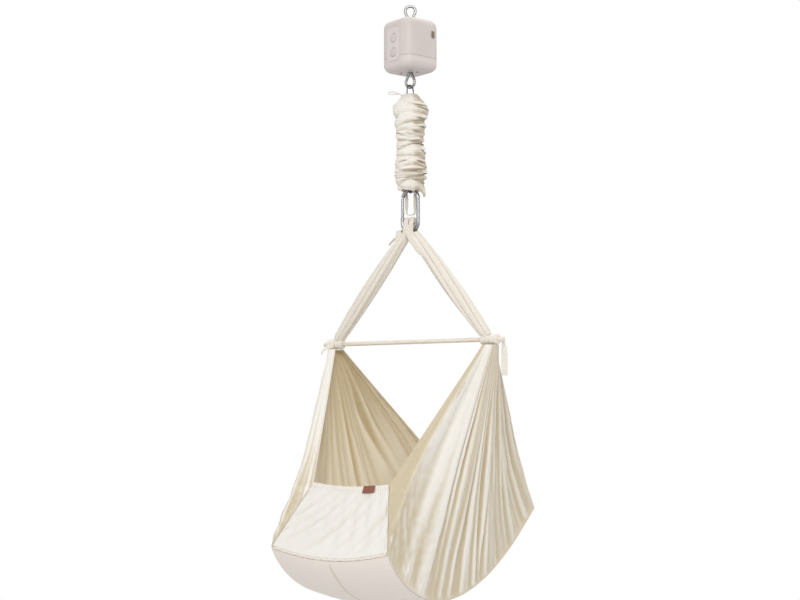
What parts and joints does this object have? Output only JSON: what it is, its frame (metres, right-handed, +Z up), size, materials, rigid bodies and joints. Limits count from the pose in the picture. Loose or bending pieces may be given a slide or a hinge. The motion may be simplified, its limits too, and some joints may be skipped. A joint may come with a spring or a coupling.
{
  "type": "hanging baby cradle",
  "caption": "Cloth baby cradle hung by two gathered slings and a wooden spreader bar from a snap hook, a covered spring and an electric lifting unit under a ceiling eye.",
  "frame": {"origin": "where the ceiling hook bears inside the top eye, on the hanging axis", "axes": "+Z up along the hanging axis, X along the spreader bar, Y along the cradle with its front end at -Y"},
  "size_m": [0.596, 0.7813, 1.6781],
  "materials": {
    "steel": "polished",
    "dark_steel": "satin",
    "zinc": "satin",
    "housing": "matte",
    "panel": "matte",
    "button": "satin",
    "board": "matte",
    "black_plastic": "matte",
    "nylon": "satin",
    "brass": "satin",
    "cotton": "matte",
    "cotton_tan": "matte",
    "webbing": "matte",
    "wood": "satin",
    "leather": "matte",
    "taupe": "matte",
    "mattress": "matte"
  },
  "bodies": {
    "motor_unit": {"top_eye": "steel", "eye_nut": "zinc", "housing_upper": "housing", "housing_lower": "housing", "button_panel": "panel", "control_board": "board", "power_inlet": "black_plastic", "housing_tag": "taupe", "housing_screw_1": "zinc", "housing_screw_2": "zinc", "housing_screw_3": "zinc", "housing_screw_4": "zinc", "chassis": "zinc", "motor_can": "steel", "gear_axle": "steel", "rack_guide": "black_plastic", "rod_bush": "brass"},
    "button_up": {"button_upper": "button"},
    "button_down": {"button_lower": "button"},
    "lift_rod": {"lift_rack": "steel", "bottom_eye": "steel"},
    "gear_shaft": {"drive_gear": "nylon", "rack_pinion": "nylon"},
    "motor_shaft": {"motor_pinion": "brass"},
    "spring_top": {"spring_upper_hook": "dark_steel", "drawstring": "webbing", "spring_coil": "dark_steel", "spring_cover": "cotton"},
    "spring_bottom": {"spring_lower_hook": "dark_steel"},
    "snap_hook": {"carabiner_body": "steel", "gate_pin": "dark_steel", "safety_strap": "webbing"},
    "gate": {"carabiner_gate": "steel"},
    "cradle": {"sling_left": "cotton", "sling_right": "cotton", "bar_loop_left": "webbing", "bar_loop_right": "webbing", "side_panel_left": "cotton_tan", "side_panel_right": "cotton_tan", "base_panel": "cotton", "end_panel_front": "cotton", "end_panel_back": "cotton", "leather_tag": "leather", "mattress": "mattress", "tie_tape_left": "webbing", "tie_tape_right": "webbing"},
    "bar": {"spreader_bar": "wood"}
  },
  "joints": [
    {"name": "lift", "type": "slide", "parent": "motor_unit", "child": "lift_rod", "axis": [0, 0, 1], "range_m": [-0.035, 0]},
    {"name": "gear_shaft_turn", "type": "hinge", "parent": "motor_unit", "child": "gear_shaft", "pos_m": [-0.01717, 0.00541, -0.115], "axis": [0.3007, 0.9537, 0], "range_deg": [0, 168]},
    {"name": "motor_shaft_turn", "type": "hinge", "parent": "motor_unit", "child": "motor_shaft", "pos_m": [-0.02313, 0.00729, -0.15045], "axis": [0.3007, 0.9537, 0], "range_deg": [-502, 0]},
    {"name": "button_up_press", "type": "slide", "parent": "motor_unit", "child": "button_up", "axis": [0.3007, 0.9537, 0], "range_m": [0, 0.0012], "stiffness_N_per_m": 300, "springref_m": -0.0015},
    {"name": "button_down_press", "type": "slide", "parent": "motor_unit", "child": "button_down", "axis": [0.3007, 0.9537, 0], "range_m": [0, 0.0012], "stiffness_N_per_m": 300, "springref_m": -0.0015},
    {"name": "spring_swing", "type": "hinge", "parent": "lift_rod", "child": "spring_top", "pos_m": [0, 0, -0.231], "axis": [1, 0, 0], "range_deg": [-15, 15]},
    {"name": "spring_stretch", "type": "slide", "parent": "spring_top", "child": "spring_bottom", "axis": [0, 0, -1], "range_m": [0, 0.1], "stiffness_N_per_m": 400, "springref_m": -0.0902, "deforming": ["spring_coil", "spring_cover"]},
    {"name": "snap_hook_swing", "type": "hinge", "parent": "spring_bottom", "child": "snap_hook", "pos_m": [0, 0, -0.5333], "axis": [0, 1, 0], "range_deg": [-15, 15]},
    {"name": "gate_open", "type": "hinge", "parent": "snap_hook", "child": "gate", "pos_m": [-0.02575, 0, -0.60725], "axis": [0, 1, 0], "range_deg": [0, 25], "stiffness_Nm_per_rad": 0.06, "springref_deg": -22.92},
    {"name": "cradle_swing", "type": "hinge", "parent": "snap_hook", "child": "cradle", "pos_m": [0, 0, -0.64075], "axis": [1, 0, 0], "range_deg": [-12, 12]},
    {"name": "bar_slide", "type": "slide", "parent": "cradle", "child": "bar", "axis": [1, 0, 0], "range_m": [-0.012, 0.012]}
  ],
  "couplings": [
    {"joint": "gear_shaft_turn", "follows": "lift", "rad_per_m": -83.333},
    {"joint": "motor_shaft_turn", "follows": "lift", "rad_per_m": 250}
  ]
}
